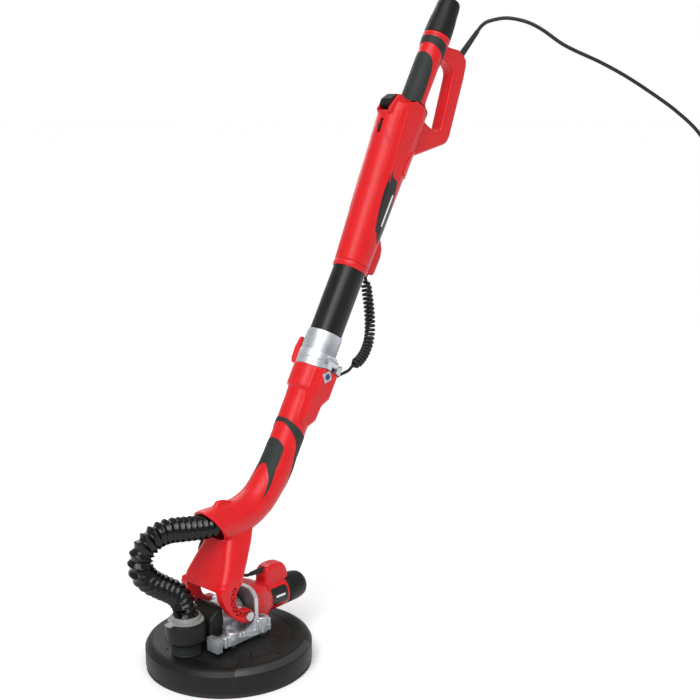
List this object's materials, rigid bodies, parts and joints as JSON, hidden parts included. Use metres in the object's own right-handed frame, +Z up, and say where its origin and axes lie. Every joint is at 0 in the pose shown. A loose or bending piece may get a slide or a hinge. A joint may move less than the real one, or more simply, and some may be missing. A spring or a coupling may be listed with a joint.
{
  "type": "pole drywall sander",
  "caption": "Long-reach electric drywall sander with a tilting round head in a floating dust shroud, a folding pole, a dust hose, a D-shaped rear handle and a mains cord",
  "frame": {"origin": "centre of the abrasive face, on the floor", "axes": "+Z up; +X towards the motor and the operator; the head is symmetrical about the XZ plane"},
  "size_m": [1.1871, 0.569, 0.9986],
  "materials": {
    "abrasive_disc": "abrasive coated",
    "arm_shell_left": "moulded satin",
    "arm_shell_right": "moulded satin",
    "armature": "wound copper",
    "bevel_gear": "machined",
    "bevel_pinion": "machined",
    "brush_skirt": "bristle",
    "carbon_brush_left": "wound copper",
    "carbon_brush_right": "wound copper",
    "cooling_fan": "moulded matt",
    "cord_coil": "soft matt",
    "cord_relief": "soft matt",
    "curly_cord": "soft matt",
    "duct_bellows": "soft matt",
    "dust_duct": "moulded matt",
    "dust_hose": "shiny vinyl",
    "float_spring_0": "machined",
    "float_spring_1": "machined",
    "float_spring_2": "machined",
    "float_spring_3": "machined",
    "fold_pin": "machined",
    "front_bearing": "machined",
    "gear_housing": "as cast",
    "hinge_ring_lower": "as cast",
    "hinge_ring_upper": "as cast",
    "hose_connector": "moulded matt",
    "hose_lock_ring": "clear",
    "inner_duct": "moulded matt",
    "latch_lever": "moulded satin",
    "lower_grip_band": "soft matt",
    "lower_grip_inlay": "soft matt",
    "mains_cord": "soft matt",
    "motor_cable": "soft matt",
    "motor_cable_relief": "soft matt",
    "motor_end_cap": "moulded matt",
    "motor_housing": "moulded satin",
    "nose_seal": "soft matt",
    "pad_foam": "open-cell foam",
    "pad_plate": "moulded matt",
    "pivot_pin_left": "machined",
    "pivot_pin_right": "machined",
    "plug": "soft matt",
    "plug_pin_left": "plain",
    "plug_pin_right": "plain",
    "pole_tube": "anodised black",
    "power_switch": "moulded matt",
    "rear_bearing": "machined",
    "segment_brush": "bristle",
    "shroud": "moulded matt",
    "shroud_segment": "moulded matt",
    "speed_controller": "moulded matt",
    "speed_dial": "moulded matt",
    "spindle": "machined",
    "spindle_bearing": "machined",
    "stator": "machined",
    "trigger": "moulded matt",
    "upper_grip_band": "soft matt",
    "upper_grip_inlay": "soft matt",
    "upper_shell_left": "moulded satin",
    "upper_shell_right": "moulded satin"
  },
  "bodies": {
    "head": {"gear_housing": "gear_housing", "spindle_bearing": "spindle_bearing", "nose_seal": "nose_seal", "front_bearing": "front_bearing", "rear_bearing": "rear_bearing", "stator": "stator", "carbon_brush_left": "carbon_brush_left", "carbon_brush_right": "carbon_brush_right", "pivot_pin_left": "pivot_pin_left", "pivot_pin_right": "pivot_pin_right", "motor_housing": "motor_housing", "motor_end_cap": "motor_end_cap", "motor_cable_relief": "motor_cable_relief", "dust_duct": "dust_duct"},
    "pad": {"abrasive_disc": "abrasive_disc", "pad_foam": "pad_foam", "pad_plate": "pad_plate", "spindle": "spindle", "bevel_gear": "bevel_gear"},
    "rotor": {"armature": "armature", "bevel_pinion": "bevel_pinion", "cooling_fan": "cooling_fan"},
    "shroud_ring": {"shroud": "shroud", "brush_skirt": "brush_skirt", "duct_bellows": "duct_bellows", "float_spring_0": "float_spring_0", "float_spring_1": "float_spring_1", "float_spring_2": "float_spring_2", "float_spring_3": "float_spring_3"},
    "segment": {"shroud_segment": "shroud_segment", "segment_brush": "segment_brush"},
    "hose_ring": {"hose_lock_ring": "hose_lock_ring"},
    "lower_arm": {"arm_shell_left": "arm_shell_left", "arm_shell_right": "arm_shell_right", "lower_grip_band": "lower_grip_band", "lower_grip_inlay": "lower_grip_inlay", "hinge_ring_lower": "hinge_ring_lower", "fold_pin": "fold_pin", "dust_hose": "dust_hose", "motor_cable": "motor_cable"},
    "latch": {"latch_lever": "latch_lever"},
    "upper_arm": {"hinge_ring_upper": "hinge_ring_upper", "pole_tube": "pole_tube", "upper_shell_left": "upper_shell_left", "upper_shell_right": "upper_shell_right", "upper_grip_inlay": "upper_grip_inlay", "upper_grip_band": "upper_grip_band", "inner_duct": "inner_duct", "speed_controller": "speed_controller", "curly_cord": "curly_cord", "cord_relief": "cord_relief", "mains_cord": "mains_cord", "cord_coil": "cord_coil", "plug": "plug", "plug_pin_left": "plug_pin_left", "plug_pin_right": "plug_pin_right"},
    "switch": {"power_switch": "power_switch"},
    "dial": {"speed_dial": "speed_dial"},
    "trigger_key": {"trigger": "trigger"},
    "connector": {"hose_connector": "hose_connector"}
  },
  "joints": [
    {"name": "pad_spin", "type": "hinge", "parent": "head", "child": "pad", "pos_m": [0, 0, 0.03], "axis": [0, 0, 1], "continuous": true},
    {"name": "armature_spin", "type": "hinge", "parent": "head", "child": "rotor", "pos_m": [0.07, 0, 0.08], "axis": [1, 0, 0], "continuous": true},
    {"name": "shroud_float", "type": "slide", "parent": "head", "child": "shroud_ring", "axis": [0, 0, 1], "range_m": [0, 0.004], "stiffness_N_per_m": 2500, "springref_m": -0.002, "deforming": ["float_spring_0", "float_spring_1", "float_spring_2", "float_spring_3", "duct_bellows"]},
    {"name": "segment_release", "type": "slide", "parent": "shroud_ring", "child": "segment", "axis": [0, -1, 0], "range_m": [0, 0.03]},
    {"name": "hose_ring_turn", "type": "hinge", "parent": "head", "child": "hose_ring", "pos_m": [-0.082, 0, 0.095], "axis": [0, 0, 1], "range_deg": [0, 45]},
    {"name": "head_tilt", "type": "hinge", "parent": "head", "child": "lower_arm", "pos_m": [0, 0, 0.084], "axis": [0, 1, 0], "range_deg": [-30, 35], "deforming": ["dust_hose", "motor_cable"]},
    {"name": "latch_open", "type": "hinge", "parent": "lower_arm", "child": "latch", "pos_m": [0.18505, 0.0345, 0.42738], "axis": [0.866, 0, -0.5], "range_deg": [-120, 0]},
    {"name": "fold", "type": "hinge", "parent": "lower_arm", "child": "upper_arm", "pos_m": [0.1883, -0.039, 0.43301], "axis": [0.866, 0, -0.5], "range_deg": [0, 160], "deforming": ["curly_cord"]},
    {"name": "power_switch_slide", "type": "slide", "parent": "upper_arm", "child": "switch", "axis": [-0.5, 0, -0.866], "range_m": [0, 0.005]},
    {"name": "speed_dial_turn", "type": "hinge", "parent": "upper_arm", "child": "dial", "pos_m": [0.34535, 0, 0.78863], "axis": [0, 1, 0], "range_deg": [0, 270]},
    {"name": "trigger_press", "type": "slide", "parent": "upper_arm", "child": "trigger_key", "axis": [-0.866, 0, 0.5], "range_m": [0, 0.005], "stiffness_N_per_m": 900, "springref_m": -0.001},
    {"name": "connector_swivel", "type": "hinge", "parent": "upper_arm", "child": "connector", "pos_m": [0.4883, 0, 0.95263], "axis": [0.5, 0, 0.866], "continuous": true}
  ],
  "couplings": [
    {"joint": "armature_spin", "follows": "pad_spin", "ratio": 3}
  ]
}
